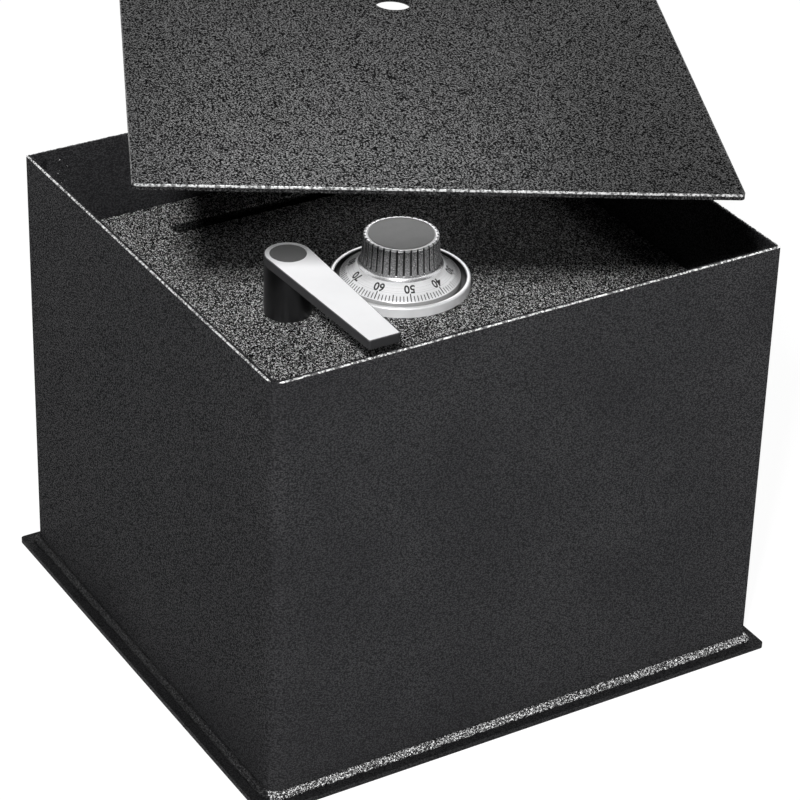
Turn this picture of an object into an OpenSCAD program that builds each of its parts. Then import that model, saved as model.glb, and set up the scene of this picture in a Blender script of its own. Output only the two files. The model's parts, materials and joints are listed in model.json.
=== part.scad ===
// Floor safe: a welded steel box on a flanged foot, with a sunk door that carries
// a lever handle and a combination dial, and a loose cover plate held above it.
// The origin is the middle of the underside of the base plate. The front faces -Y.

/* [Body] */
// Outer width of the box
body_w = 312; // [290:1:360]
// Outer depth of the box, front to back
body_d = 288; // [270:1:340]
// Height from the floor to the rim
body_h = 261; // [200:1:400]
// Thickness of the wall sheets
wall = 2.5; // [2:0.1:4]
// Outer radius of the two bent upright corners
bend_r = 8; // [6:0.5:12]
// Thickness of the base plate
base_t = 3; // [2:0.5:8]
// How far the base plate stands out beyond the walls
flange = 9; // [7:0.5:25]
// Corner radius of the base plate
base_corner_r = 2.5; // [1:0.5:6]
// Distance between the anchor holes along the width
anchor_x = 230; // [150:1:250]
// Distance between the anchor holes along the depth
anchor_y = 200; // [150:1:220]
// Radius of an anchor hole
anchor_r = 6; // [4:0.5:9]
// Leg of the weld bead round the foot
foot_bead = 4.5; // [2:0.5:6]
// Leg of the weld bead inside the two welded upright corners
seam_bead = 2.5; // [1.5:0.1:3]

/* [Recess] */
// Depth from the rim to the top of the door
recess = 49; // [45:1:80]
// Width of the ledges that the door rests on
ledge_w = 20; // [14:0.5:24]
// Thickness of the ledges
ledge_t = 4; // [3:0.5:6]
// Length of the legs of a corner tab under the cover
tab_leg = 9; // [7:0.5:12]
// Height of a corner tab
tab_t = 10; // [3:0.5:14]

/* [Door] */
// Thickness of the door plate
door_t = 6; // [5:0.5:12]
// Gap between the door and the walls
door_gap = 2.3; // [2:0.1:4]
// Length of the deposit slot
slot_l = 164; // [80:1:180]
// Width of the deposit slot
slot_w = 11.5; // [6:0.5:14]
// Corner radius of the deposit slot
slot_corner_r = 1; // [0.5:0.5:2.5]
// Distance from the back wall to the middle of the slot
slot_back = 32; // [28:0.5:34]
// Sheet thickness of the baffle under the slot
baffle_t = 2; // [1:0.5:3]
// How far the baffle hangs below the door
baffle_drop = 30; // [24:1:36]
// How far the baffle's lip reaches past the slot
baffle_reach = 7; // [4:0.5:9]

/* [Hinge] */
// Distance from the back wall to the hinge axis
hinge_back = 43.5; // [40:0.5:48]
// Depth of the hinge axis below the door plate
hinge_drop = 6; // [5.5:0.1:7]
// Radius of a hinge pin
hinge_pin_r = 4; // [3:0.1:4.4]
// Width of a hinge block, from the wall inwards
block_w = 10; // [8:0.5:12]
// Height of a hinge block below the hinge axis
block_drop = 16; // [12:0.5:20]
// Thickness of a hinge ear
ear_t = 6; // [4:0.5:8]
// Outer radius of a hinge ear
ear_r = 8; // [6.5:0.5:9]

/* [Handle] */
// Distance from the dial's axis to the handle's axis
handle_offset = 70.5; // [66:0.5:80]
// Distance from the front wall to the handle's axis
handle_front = 136; // [132:0.5:139]
// Radius of the hub and of the round end of the lever
hub_r = 13.2; // [11:0.1:14]
// Height of the handle above the door
handle_h = 36; // [34:0.5:42]
// Thickness of the lever
lever_t = 5.5; // [4:0.5:6]
// Distance from the hub's axis to the tip of the lever
lever_reach = 103.5; // [80:0.5:118]
// Width of the lever at its tip
tip_w = 19.2; // [14:0.1:24]
// Corner radius of the lever's tip
tip_r = 1.6; // [0.8:0.2:4]
// Radius of the round inlay on the lever
lever_inlay_r = 10.2; // [8:0.2:10.6]
// Thickness of the inlays on the lever and the knob
inlay_t = 0.8; // [0.5:0.1:1.5]
// Radius of the handle's spindle
spindle_r = 6; // [5:0.5:7]
// Wall of the bush round the handle's spindle
bush_wall = 2.2; // [1.5:0.1:3]
// Thickness of the bush's flange
bush_flange_t = 2.5; // [1.5:0.5:3]
// Distance from the spindle to the crank pin, which is also the bolts' throw
crank_r = 14; // [13:0.5:15]
// Thickness of the crank
crank_t = 5; // [3:0.5:6]
// Radius of the crank pin
crank_pin_r = 3; // [2:0.5:3.5]
// Thickness of the nut on the spindle
nut_t = 5; // [4:0.5:6]

/* [Bolt work] */
// Radius of a locking bolt
bolt_r = 8; // [7:0.5:9]
// Distance between neighbouring locking bolts
bolt_pitch = 80; // [60:1:84]
// Width of the carriage across the bolts
carriage_w = 210; // [204:1:220]
// Thickness of the carriage plate and its front flange
carriage_t = 4; // [3:0.5:5]
// Depth of the carriage's cross bar, front to back
crossbar_d = 23; // [20:0.5:24]
// Width of each arm of the carriage
arm_w = 30; // [27:0.5:34]
// Thickness of the guide bar that the bolts run in
guide_t = 6; // [4:0.5:8]
// Radius of the threaded end of a locking bolt
stud_end_r = 4; // [3:0.5:5]
// Thickness of a locking bolt's nut
bolt_nut_t = 6.5; // [5:0.5:7]
// Radius of a guide stud that carries the carriage
guide_stud_r = 4; // [3:0.5:5]
// Radius of the collar and head of a guide stud
stud_collar_r = 7; // [6:0.5:8]
// Thickness of a guide stud's head
stud_head_t = 3; // [2:0.5:4]

/* [Dial] */
// Distance from the front wall to the dial's axis
dial_front = 134.5; // [131:0.5:138]
// Outer radius of the dial ring
ring_r = 39.5; // [38:0.5:42]
// Height of the dial ring above the door
ring_h = 6; // [5:0.5:8]
// Width of the raised lip of the dial ring
ring_lip = 2.5; // [1.5:0.1:3]
// Thickness of the dial ring's floor
ring_floor = 2; // [1:0.5:3]
// Radius of the graduated disc
disc_r = 33.8; // [32:0.1:35]
// Thickness of the disc at its edge
disc_edge_t = 3.8; // [2:0.1:4.5]
// Rise of the disc from its edge to the knob
disc_rise = 7.3; // [5:0.1:8.5]
// Height of the knob's top above the door
knob_top = 31.5; // [26:0.5:33]
// Radius of the flared foot of the knob
knob_foot_r = 24; // [23.2:0.1:26]
// Radius of the fluted barrel at its foot
knob_low_r = 22.2; // [21.5:0.1:23]
// Radius of the fluted barrel at its top
knob_high_r = 21.2; // [20:0.1:21.4]
// Number of flutes round the knob
flutes = 34; // [24:1:60]
// Radius of one flute
flute_r = 0.75; // [0.4:0.05:1]
// Radius of the inlay on top of the knob
knob_inlay_r = 18.2; // [15:0.1:18.6]
// Radius of the dial's spindle
dial_spindle_r = 4; // [3:0.5:4.5]

/* [Lock] */
// Thickness of the lock case's base and of its walls
case_t = 3; // [2:0.5:4]
// Thickness of the lock cover
lock_cover_t = 2; // [1:0.5:3]
// Radius of the boss round a lock screw
boss_r = 3.5; // [3:0.1:4]
// Radius of a lock screw
lock_screw_r = 2; // [1.5:0.1:2.4]
// Radius of a lock screw's head
screw_head_r = 3.4; // [3:0.1:4]
// Height of a lock screw's head
screw_head_t = 2.4; // [1.5:0.1:3]
// How far a lock screw bites into the door plate
screw_bite = 4; // [2:0.5:4.5]
// Radius of the wheels and the drive cam
wheel_r = 20; // [17:0.5:21]
// Thickness of a wheel
wheel_t = 2.4; // [1.5:0.1:3]
// Gap between neighbouring wheels
wheel_space = 1.8; // [1.6:0.1:2.4]
// Wall of the hollow post that the wheels turn on
post_wall = 1.95; // [1.5:0.05:2.5]
// Width of the gate in a wheel's rim
gate_w = 4; // [3:0.5:5]
// Depth of the gate in a wheel's rim
gate_depth = 4; // [3:0.5:5]
// Thickness of the drive cam
cam_t = 3.5; // [2.5:0.5:4]
// Width of the lock bolt
lock_bolt_w = 25; // [20:0.5:28]
// Height of the lock bolt
lock_bolt_h = 9; // [8:0.5:10]
// Throw of the lock bolt
lock_throw = 13; // [12:0.5:13]
// Thickness of the fence lever
lever_plate_t = 3; // [2:0.5:4]
// Width of the fence lever's arm
fence_arm_w = 4; // [3:0.5:5]
// Radius of the screw that holds the fence lever
lever_screw_r = 2.5; // [2:0.1:3]

/* [Cover] */
// Thickness of the cover plate
cover_t = 3; // [2:0.5:5]
// Gap between the seated cover and each wall
cover_gap = 1.5; // [1:0.1:3]
// Corner radius of the cover plate
cover_corner_r = 3; // [2.5:0.5:6]
// Radius of the finger hole
finger_r = 10; // [8:0.5:14]
// Distance from the cover's rear edge to the finger hole
finger_back = 32; // [20:1:60]
// Sideways shift of the lifted cover
cover_shift_x = -9; // [-20:0.5:20]
// Forward or backward shift of the lifted cover
cover_shift_y = -28.5; // [-32:0.5:0]
// Height of the lifted cover above the rim
cover_lift = 84; // [80:1:140]
// Turn of the lifted cover about the vertical
cover_yaw = -25; // [-30:0.5:0]
// Nose-down tilt of the lifted cover
cover_pitch = -2.3; // [-4:0.1:4]
// Sideways tilt of the lifted cover
cover_roll = 2.5; // [-4:0.1:4]

/* [Clearances] */
// Radial clearance of a shaft that turns in its bore
run_gap = 0.05; // [0.02:0.01:0.08]
// Clearance between flat faces that move past each other
face_gap = 0.3; // [0.3:0.05:0.5]
// Radial clearance of the bolts in the guide bar
guide_gap = 0.35; // [0.3:0.05:0.5]
// Clearance round the crank pin in its slot
pin_gap = 0.6; // [0.5:0.05:0.8]
// Clearance of the withdrawn bolts from the front ledge
bolt_clear = 5; // [4:0.5:6]
// Gap between the thrown bolts and the ledge above them
bolt_gap = 0.7; // [0.5:0.1:1]
// Gap between a hinge ear and its block
ear_gap = 0.5; // [0.3:0.1:1]
// Gap between the disc and the floor of the dial ring
disc_gap = 0.4; // [0.3:0.1:0.6]
// Clearance of the wheels from the lock case all round
wheel_clear = 4; // [3:0.5:5]
// Clearance of the wheels and their post from what lies above and below
wheel_end_gap = 1.6; // [1:0.1:2]
// Clearance left where a sliding piece ends its travel
stop_gap = 1.5; // [1:0.1:2]

/* [Hidden] */
$fn = 96;
// How far a cutter reaches past what it cuts
eps = 1;
wheel_count = 3;
paint = "#1c1c1e";
steel = "#a9abae";
zinc = "#8f9296";
satin = "#c9cbce";
inlay_grey = "#5c5c60";
brassy = "#b59a55";

// Clear space between the walls
inner_w = body_w - 2 * wall;
inner_d = body_d - 2 * wall;
front_in = -inner_d / 2;
back_in = inner_d / 2;

// Levels from the rim downwards
door_top = body_h - recess;
door_under = door_top - door_t;
ledge_top = door_under - face_gap;
tab_top = body_h - cover_t - face_gap;

// Chamfer that clears the weld in a welded corner, and where that weld ends
corner_cut = seam_bead * 1.5;
seam_end = 2;

// Hinge
hinge_y = back_in - hinge_back;
hinge_z = door_under - hinge_drop;
block_r = hinge_drop - 2 * face_gap;
block_depth = 12;
block_in = inner_w / 2 - block_w;
ear_out = block_in - ear_gap;
ear_in = ear_out - ear_t;
ledge_space = 6;
ledge_end = hinge_y - block_depth - ledge_space;
pin_out = 2;
pin_in = ear_in - pin_out;

// Deposit slot
slot_y = back_in - slot_back;
baffle_margin = 5;
baffle_side = 8;
baffle_front = slot_y - slot_w / 2 - baffle_margin;
baffle_back = slot_y + slot_w / 2 + baffle_reach;
baffle_w = slot_l + 2 * baffle_side;

// Handle, from the top of the lever downwards
handle_x = -handle_offset;
handle_y = front_in + handle_front;
lever_top = door_top + handle_h;
lever_under = lever_top - lever_t;
hub_foot = door_top + face_gap;
bush_flange_w = 3;
crank_wall = 3;
bush_r = spindle_r + bush_wall;
bush_foot = door_under - bush_flange_t;
crank_top = bush_foot - face_gap;
crank_under = crank_top - crank_t;
nut_under = crank_under - nut_t;
thread_out = 0.8;
spindle_nut_wall = 3.5;
pin_reach = 1;
thread_step = 1;
hub_cap = 4;
spindle_end = nut_under - thread_out;
thread_r = spindle_r - thread_step;
spindle_top = lever_under - hub_cap;
pin_start = 150;
pin_x = crank_r * cos(pin_start);
pin_y = crank_r * sin(pin_start);
travel = crank_r;

// Carriage and bolts, from the front ledge backwards
carriage_space = 2.4;
guide_margin = 3;
bolt_nose = 10;
bolt_chamfer = 1;
nut_wall = 2.5;
nut_space = 2;
arm_margin = 9;
stud_space = 2;
carriage_top = spindle_end - carriage_space;
carriage_under = carriage_top - carriage_t;
bolt_z = ledge_top - ledge_t - bolt_gap - bolt_r;
tip_y = front_in + ledge_w + bolt_clear;
guide_front_y = tip_y + bolt_nose;
flange_y = guide_front_y + guide_t + travel + stop_gap;
crossbar_back = flange_y + crossbar_d;
nut_flat = 2 * (stud_end_r + nut_wall);
arm_x = handle_offset + arm_w / 2;
arm_back = handle_y + pin_y + crank_pin_r + arm_margin;
stud_y = crossbar_back + stud_collar_r + stud_space;
pin_slot_y = handle_y + pin_y;
pin_slot_x = handle_x - crank_r + (crank_r + pin_x) / 2;

// Dial, from the axis outwards and from the door upwards
dial_y = front_in + dial_front;
disc_foot = ring_floor + disc_gap;
disc_edge_top = disc_foot + disc_edge_t;
disc_top = disc_edge_top + disc_rise;
knob_foot_h = 3;
knob_chamfer = 0.6;
knob_roof = 3;
ring_bevel = 1.5;
ring_hole_margin = 2;

// Lock, from the door downwards
case_base = door_under - case_t;
post_r = dial_spindle_r + run_gap + post_wall;
wheel_step = wheel_t + wheel_space;
peg_turn_1 = 70;
peg_turn_step = 30;
peg_r = 1.2;
cam_space = 1.3;
spindle_out = 1;
lock_drop = 1.5;
case_space = 4;
boss_space = 2;
wheel_1_z = case_base - wheel_end_gap - wheel_t;
wheel_last_z = wheel_1_z - (wheel_count - 1) * wheel_step;
cam_z = wheel_last_z - wheel_space - cam_space - cam_t;
post_end = wheel_last_z - wheel_end_gap;
dial_spindle_end = cam_z - spindle_out;
lock_bolt_z = carriage_under - lock_drop;
fence_z = lock_bolt_z - lever_plate_t;
case_foot = min(fence_z - 3 * face_gap, dial_spindle_end - stop_gap);
case_left = -wheel_r - wheel_clear - case_t;
fence_x = wheel_r + wheel_clear;
case_right = fence_x + fence_arm_w + boss_space + 2 * boss_r + case_t;
case_back = dial_y + wheel_r + wheel_clear + case_t;
lock_tip_y = crossbar_back + 2 * face_gap;
case_front = crossbar_back + case_space;
lock_bolt_back = dial_y - wheel_r - wheel_clear;
fence_front = case_front + case_t + lock_throw + stop_gap;

// A rectangle whose front left and back right corners are bent
module bent_rect(w, d, r) {
    difference() {
        square([w, d], center = true);
        for (s = [-1, 1])
            translate([s * (w / 2 - r), s * (d / 2 - r)])
                difference() {
                    translate([s * (r + eps) / 2, s * (r + eps) / 2])
                        square(r + eps, center = true);
                    circle(r);
                }
    }
}

// What fits between the walls with a gap all round, and clears the corner welds
module inner_outline(gap) {
    w = inner_w - 2 * gap;
    d = inner_d - 2 * gap;
    difference() {
        bent_rect(w, d, max(bend_r - wall - gap, 1) + gap);
        for (s = [-1, 1])
            translate([s * w / 2, -s * d / 2])
                rotate(45)
                    square(corner_cut * sqrt(2), center = true);
    }
}

// A rectangle with four round corners
module round_rect(w, d, r) {
    difference() {
        square([w, d], center = true);
        for (sx = [-1, 1], sy = [-1, 1])
            translate([sx * (w / 2 - r), sy * (d / 2 - r)])
                difference() {
                    translate([sx * (r + eps) / 2, sy * (r + eps) / 2])
                        square(r + eps, center = true);
                    circle(r, $fn = 48);
                }
    }
}

// A slot with round ends along X
module long_slot(length, r) {
    square([length - 2 * r, 2 * r], center = true);
    for (s = [-1, 1])
        translate([s * (length / 2 - r), 0])
            circle(r, $fn = 48);
}

// The section of a weld bead, in the corner between a wall and a plate
module bead_section(leg) {
    intersection() {
        circle(leg, $fn = 48);
        square(leg + eps);
    }
}

module shell_frame() {
    difference() {
        bent_rect(body_w, body_d, bend_r);
        bent_rect(inner_w, inner_d, bend_r - wall);
    }
}

// The part of the frame that belongs to the front and left sheet
module front_left_part() {
    translate([-body_w / 2, -body_d / 2]) {
        square([body_w, wall]);
        square([wall, body_d]);
        square(bend_r);
    }
}

module base_plate() {
    color(paint)
        linear_extrude(base_t)
            difference() {
                round_rect(body_w + 2 * flange, body_d + 2 * flange, base_corner_r);
                for (sx = [-1, 1], sy = [-1, 1])
                    translate([sx * anchor_x / 2, sy * anchor_y / 2])
                        circle(anchor_r);
            }
}

module shell_front_left() {
    color(paint)
        translate([0, 0, base_t])
            linear_extrude(body_h - base_t)
                intersection() {
                    shell_frame();
                    front_left_part();
                }
}

module shell_back_right() {
    color(paint)
        translate([0, 0, base_t])
            linear_extrude(body_h - base_t)
                difference() {
                    shell_frame();
                    front_left_part();
                }
}

module seam_welds() {
    color(paint)
        for (s = [-1, 1])
            translate([s * inner_w / 2, -s * inner_d / 2, base_t])
                rotate(s > 0 ? 90 : -90)
                    linear_extrude(body_h - base_t - seam_end)
                        bead_section(seam_bead);
}

module foot_bead_x() {
    rotate([90, 0, 90])
        linear_extrude(body_w - bend_r)
            bead_section(foot_bead);
}

module foot_bead_y() {
    rotate([90, 0, 0])
        linear_extrude(body_d - bend_r)
            bead_section(foot_bead);
}

module foot_weld() {
    color(paint)
        translate([0, 0, base_t])
            for (turn = [0, 180])
                rotate(turn) {
                    translate([-body_w / 2, body_d / 2, 0])
                        foot_bead_x();
                    translate([body_w / 2, body_d / 2 - bend_r, 0])
                        foot_bead_y();
                    translate([body_w / 2 - bend_r, body_d / 2 - bend_r, 0])
                        rotate_extrude(angle = 90)
                            translate([bend_r, 0])
                                bead_section(foot_bead);
                    translate([-body_w / 2, body_d / 2, 0])
                        rotate(90)
                            rotate_extrude(angle = 90)
                                bead_section(foot_bead);
                }
}

module ledge_bar(x0, x1, y0, y1) {
    translate([0, 0, ledge_top - ledge_t])
        linear_extrude(ledge_t)
            intersection() {
                inner_outline(0);
                translate([x0, y0])
                    square([x1 - x0, y1 - y0]);
            }
}

module ledge_front() {
    color(paint)
        ledge_bar(-inner_w / 2 + ledge_w, inner_w / 2 - ledge_w, front_in, front_in + ledge_w);
}

module ledge_left() {
    color(paint)
        ledge_bar(-inner_w / 2, -inner_w / 2 + ledge_w, front_in, ledge_end);
}

module ledge_right() {
    color(paint)
        ledge_bar(inner_w / 2 - ledge_w, inner_w / 2, front_in, ledge_end);
}

module cover_tabs() {
    color(paint)
        translate([0, 0, tab_top - tab_t])
            linear_extrude(tab_t)
                intersection() {
                    inner_outline(0);
                    for (sx = [-1, 1], sy = [-1, 1])
                        translate([sx * inner_w / 2, sy * inner_d / 2])
                            rotate(45)
                                square(tab_leg * sqrt(2), center = true);
                }
}

module hinge_blocks() {
    color(paint)
        for (s = [-1, 1])
            translate([s * (inner_w - block_w) / 2, hinge_y, hinge_z])
                rotate([90, 0, 90])
                    linear_extrude(block_w, center = true)
                        difference() {
                            union() {
                                circle(block_r);
                                translate([-block_depth, -block_drop])
                                    square([block_depth + 1, block_drop]);
                            }
                            circle(hinge_pin_r);
                        }
}

module hinge_pins() {
    color(steel)
        for (s = [-1, 1])
            translate([s * (inner_w / 2 + pin_in) / 2, hinge_y, hinge_z])
                rotate([0, 90, 0])
                    cylinder(r = hinge_pin_r, h = inner_w / 2 - pin_in, center = true);
}

module door_plate() {
    color(paint)
        difference() {
            translate([0, 0, door_under])
                linear_extrude(door_t)
                    difference() {
                        inner_outline(door_gap);
                        translate([0, slot_y])
                            round_rect(slot_l, slot_w, slot_corner_r);
                        translate([handle_x, handle_y])
                            circle(bush_r);
                        translate([0, dial_y])
                            circle(post_r);
                    }
            for (p = screw_places())
                translate([p[0], p[1], door_under - eps])
                    cylinder(r = lock_screw_r, h = screw_bite + eps);
        }
}

module hinge_ears() {
    color(paint)
        for (s = [-1, 1])
            translate([s * (ear_in + ear_out) / 2, hinge_y, hinge_z])
                rotate([90, 0, 90])
                    linear_extrude(ear_t, center = true)
                        difference() {
                            union() {
                                circle(ear_r);
                                translate([-ear_r, 0])
                                    square([2 * ear_r, hinge_drop]);
                            }
                            translate([-ear_r, hinge_drop])
                                square(2 * ear_r);
                            circle(hinge_pin_r + run_gap);
                        }
}

module slot_baffle() {
    color(paint)
        translate([0, 0, door_under])
            rotate([90, 0, 90])
                linear_extrude(baffle_w, center = true)
                    polygon([[baffle_front, 0],
                             [baffle_front - baffle_t, 0],
                             [baffle_front - baffle_t, -baffle_drop],
                             [baffle_back, -baffle_drop],
                             [baffle_back, baffle_t - baffle_drop],
                             [baffle_front, baffle_t - baffle_drop]]);
}

module bolt_guide() {
    foot = bolt_z - bolt_r - guide_margin;
    color(zinc)
        difference() {
            translate([-carriage_w / 2, guide_front_y, foot])
                cube([carriage_w, guide_t, door_under - foot]);
            for (i = [-1 : 1])
                translate([i * bolt_pitch, guide_front_y - eps, bolt_z])
                    rotate([-90, 0, 0])
                        cylinder(r = bolt_r + guide_gap, h = guide_t + 2 * eps);
        }
}

module guide_studs() {
    color(steel)
        for (s = [-1, 1])
            translate([s * arm_x, stud_y, 0])
                rotate_extrude()
                    polygon([[0, carriage_under - face_gap - stud_head_t],
                             [stud_collar_r, carriage_under - face_gap - stud_head_t],
                             [stud_collar_r, carriage_under - face_gap],
                             [guide_stud_r, carriage_under - face_gap],
                             [guide_stud_r, carriage_top + face_gap],
                             [stud_collar_r, carriage_top + face_gap],
                             [stud_collar_r, door_under],
                             [0, door_under]]);
}

module handle_bush() {
    color(brassy)
        translate([handle_x, handle_y, 0])
            rotate_extrude()
                polygon([[spindle_r + run_gap, bush_foot],
                         [bush_r + bush_flange_w, bush_foot],
                         [bush_r + bush_flange_w, door_under],
                         [bush_r, door_under],
                         [bush_r, door_top],
                         [spindle_r + run_gap, door_top]]);
}

module dial_ring() {
    color(satin)
        translate([0, dial_y, door_top])
            rotate_extrude($fn = 160)
                polygon([[post_r + ring_hole_margin, 0],
                         [ring_r, 0],
                         [ring_r, ring_h - ring_bevel],
                         [ring_r - ring_bevel, ring_h],
                         [ring_r - ring_lip, ring_h],
                         [ring_r - ring_lip, ring_floor],
                         [post_r + ring_hole_margin, ring_floor]]);
}

// Where the four lock screws stand
function screw_places() =
    [for (x = [case_left + case_t / 2 + boss_r, case_right - case_t / 2 - boss_r],
          y = [case_front + case_t / 2 + boss_r, case_back - case_t / 2 - boss_r])
        [x, y]];

module case_outline(inset) {
    translate([case_left + inset, case_front + inset])
        square([case_right - case_left - 2 * inset, case_back - case_front - 2 * inset]);
}

module lock_case() {
    window_w = lock_bolt_w + 2 * face_gap;
    window_h = lock_bolt_h + 2 * face_gap;
    color(zinc)
        difference() {
            union() {
                translate([0, 0, case_base])
                    linear_extrude(case_t)
                        case_outline(0);
                translate([0, 0, case_foot])
                    linear_extrude(case_base - case_foot)
                        difference() {
                            case_outline(0);
                            case_outline(case_t);
                        }
                for (p = screw_places())
                    translate([p[0], p[1], case_foot])
                        cylinder(r = boss_r, h = case_base - case_foot);
            }
            translate([0, dial_y, case_base - eps])
                cylinder(r = post_r, h = case_t + 2 * eps);
            translate([-window_w / 2, case_front - eps, lock_bolt_z - face_gap])
                cube([window_w, case_t + 2 * eps, window_h]);
            for (p = screw_places())
                translate([p[0], p[1], case_foot - eps])
                    cylinder(r = lock_screw_r + run_gap, h = door_under - case_foot + 2 * eps);
        }
}

module lock_cover() {
    color(zinc)
        translate([0, 0, case_foot - lock_cover_t])
            linear_extrude(lock_cover_t)
                difference() {
                    case_outline(0);
                    for (p = screw_places())
                        translate(p)
                            circle(lock_screw_r + run_gap, $fn = 48);
                }
}

module lock_screws() {
    head_top = case_foot - lock_cover_t;
    color(steel)
        for (p = screw_places())
            translate([p[0], p[1], 0])
                rotate_extrude($fn = 48)
                    polygon([[0, head_top - screw_head_t],
                             [screw_head_r, head_top - screw_head_t],
                             [screw_head_r, head_top],
                             [lock_screw_r, head_top],
                             [lock_screw_r, door_under + screw_bite],
                             [0, door_under + screw_bite]]);
}

module wheel_post() {
    color(brassy)
        translate([0, dial_y, post_end])
            difference() {
                cylinder(r = post_r, h = door_top - post_end);
                translate([0, 0, -eps])
                    cylinder(r = dial_spindle_r + run_gap, h = door_top - post_end + 2 * eps);
            }
}

module handle_hub() {
    color(satin)
        translate([handle_x, handle_y, hub_foot])
            difference() {
                cylinder(r = hub_r, h = lever_under - hub_foot);
                translate([0, 0, -eps])
                    cylinder(r = spindle_r, h = spindle_top - hub_foot + eps);
            }
}

// One round corner of the lever's tip, as points from side to end
function tip_corner(s) =
    [for (a = [0 : 15 : 90])
        [s * (tip_w / 2 - tip_r + tip_r * cos(a)), -lever_reach + tip_r - tip_r * sin(a)]];

module lever_outline() {
    right = tip_corner(1);
    left = tip_corner(-1);
    // The sides leave the round end where they touch it
    touch = atan2(right[0][1], right[0][0]) + acos(hub_r / norm(right[0]));
    start = (hub_r - 0.01) * [cos(touch), sin(touch)];
    circle(hub_r);
    polygon(concat([start, [-start[0], start[1]]],
                   left,
                   [for (i = [len(right) - 1 : -1 : 0]) right[i]]));
}

module handle_lever() {
    color(satin)
        translate([handle_x, handle_y, lever_under])
            difference() {
                linear_extrude(lever_t)
                    lever_outline();
                translate([0, 0, lever_t - inlay_t])
                    cylinder(r = lever_inlay_r, h = inlay_t + eps);
            }
}

module handle_inlay() {
    color(inlay_grey)
        translate([handle_x, handle_y, lever_top - inlay_t])
            cylinder(r = lever_inlay_r, h = inlay_t);
}

module handle_spindle() {
    color(steel)
        translate([handle_x, handle_y, 0])
            rotate_extrude()
                polygon([[0, spindle_end],
                         [thread_r, spindle_end],
                         [thread_r, crank_under],
                         [spindle_r, crank_under],
                         [spindle_r, spindle_top],
                         [0, spindle_top]]);
}

module handle_crank() {
    eye_r = crank_pin_r + crank_wall;
    color(zinc)
        translate([handle_x, handle_y, crank_under])
            linear_extrude(crank_t)
                difference() {
                    union() {
                        circle(spindle_r + crank_wall + 1);
                        rotate(pin_start)
                            translate([0, -eye_r])
                                square([crank_r, 2 * eye_r]);
                        translate([pin_x, pin_y])
                            circle(eye_r);
                    }
                    circle(spindle_r);
                    translate([pin_x, pin_y])
                        circle(crank_pin_r);
                }
}

module crank_pin() {
    foot = carriage_under - pin_reach;
    color(steel)
        translate([handle_x + pin_x, handle_y + pin_y, foot])
            cylinder(r = crank_pin_r, h = crank_top - foot);
}

module spindle_nut() {
    flat = 2 * (thread_r + spindle_nut_wall);
    color(steel)
        translate([handle_x, handle_y, nut_under])
            difference() {
                cylinder(d = flat / cos(30), h = nut_t, $fn = 6);
                translate([0, 0, -eps])
                    cylinder(r = thread_r, h = nut_t + 2 * eps, $fn = 96);
            }
}

module bolt_carriage() {
    window = nut_flat / cos(30) + nut_space;
    color(zinc)
        difference() {
            union() {
                translate([-carriage_w / 2, flange_y, carriage_under])
                    cube([carriage_w, crossbar_d, carriage_t]);
                translate([-carriage_w / 2, flange_y, carriage_under])
                    cube([carriage_w, carriage_t, bolt_z + bolt_r - carriage_under]);
                for (s = [-1, 1])
                    translate([s * arm_x - arm_w / 2, flange_y, carriage_under])
                        cube([arm_w, arm_back - flange_y, carriage_t]);
            }
            for (i = [-1 : 1]) {
                translate([i * bolt_pitch, flange_y - eps, bolt_z])
                    rotate([-90, 0, 0])
                        cylinder(r = stud_end_r, h = carriage_t + 2 * eps);
                translate([i * bolt_pitch - window / 2, flange_y + carriage_t, carriage_under - eps])
                    cube([window, bolt_nut_t + nut_space, carriage_t + 2 * eps]);
            }
            for (s = [-1, 1])
                translate([s * arm_x, stud_y + travel / 2, carriage_under - eps])
                    linear_extrude(carriage_t + 2 * eps)
                        rotate(90)
                            long_slot(travel + 2 * (guide_stud_r + guide_gap),
                                      guide_stud_r + guide_gap);
            translate([pin_slot_x, pin_slot_y, carriage_under - eps])
                linear_extrude(carriage_t + 2 * eps)
                    long_slot(crank_r + pin_x + 2 * (crank_pin_r + pin_gap),
                              crank_pin_r + pin_gap);
        }
}

module locking_bolts() {
    length = flange_y - tip_y;
    color(steel)
        for (i = [-1 : 1])
            translate([i * bolt_pitch, tip_y, bolt_z])
                rotate([-90, 0, 0])
                    rotate_extrude()
                        polygon([[0, 0],
                                 [bolt_r - bolt_chamfer, 0],
                                 [bolt_r, bolt_chamfer],
                                 [bolt_r, length],
                                 [stud_end_r, length],
                                 [stud_end_r, length + carriage_t + bolt_nut_t],
                                 [0, length + carriage_t + bolt_nut_t]]);
}

module bolt_nuts() {
    color(steel)
        for (i = [-1 : 1])
            translate([i * bolt_pitch, flange_y + carriage_t, bolt_z])
                rotate([-90, 0, 0])
                    difference() {
                        cylinder(d = nut_flat / cos(30), h = bolt_nut_t, $fn = 6);
                        translate([0, 0, -eps])
                            cylinder(r = stud_end_r, h = bolt_nut_t + 2 * eps, $fn = 96);
                    }
}

// Where the fence lever is screwed to the lock bolt
lever_screw_edge = 2.5;
lever_screw_margin = 2;
lever_screw_floor = 2;
fence_tip_gap = 1.2;
fence_nose_w = 3;
lever_screw_x = lock_bolt_w / 2 - lever_screw_r - lever_screw_edge;
lever_screw_y = (fence_front + lock_bolt_back) / 2;

module lock_bolt() {
    color(brassy)
        difference() {
            translate([-lock_bolt_w / 2, lock_tip_y, lock_bolt_z])
                cube([lock_bolt_w, lock_bolt_back - lock_tip_y, lock_bolt_h]);
            translate([lever_screw_x, lever_screw_y, lock_bolt_z - eps])
                cylinder(r = lever_screw_r, h = lock_bolt_h - lever_screw_floor + eps);
        }
}

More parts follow.
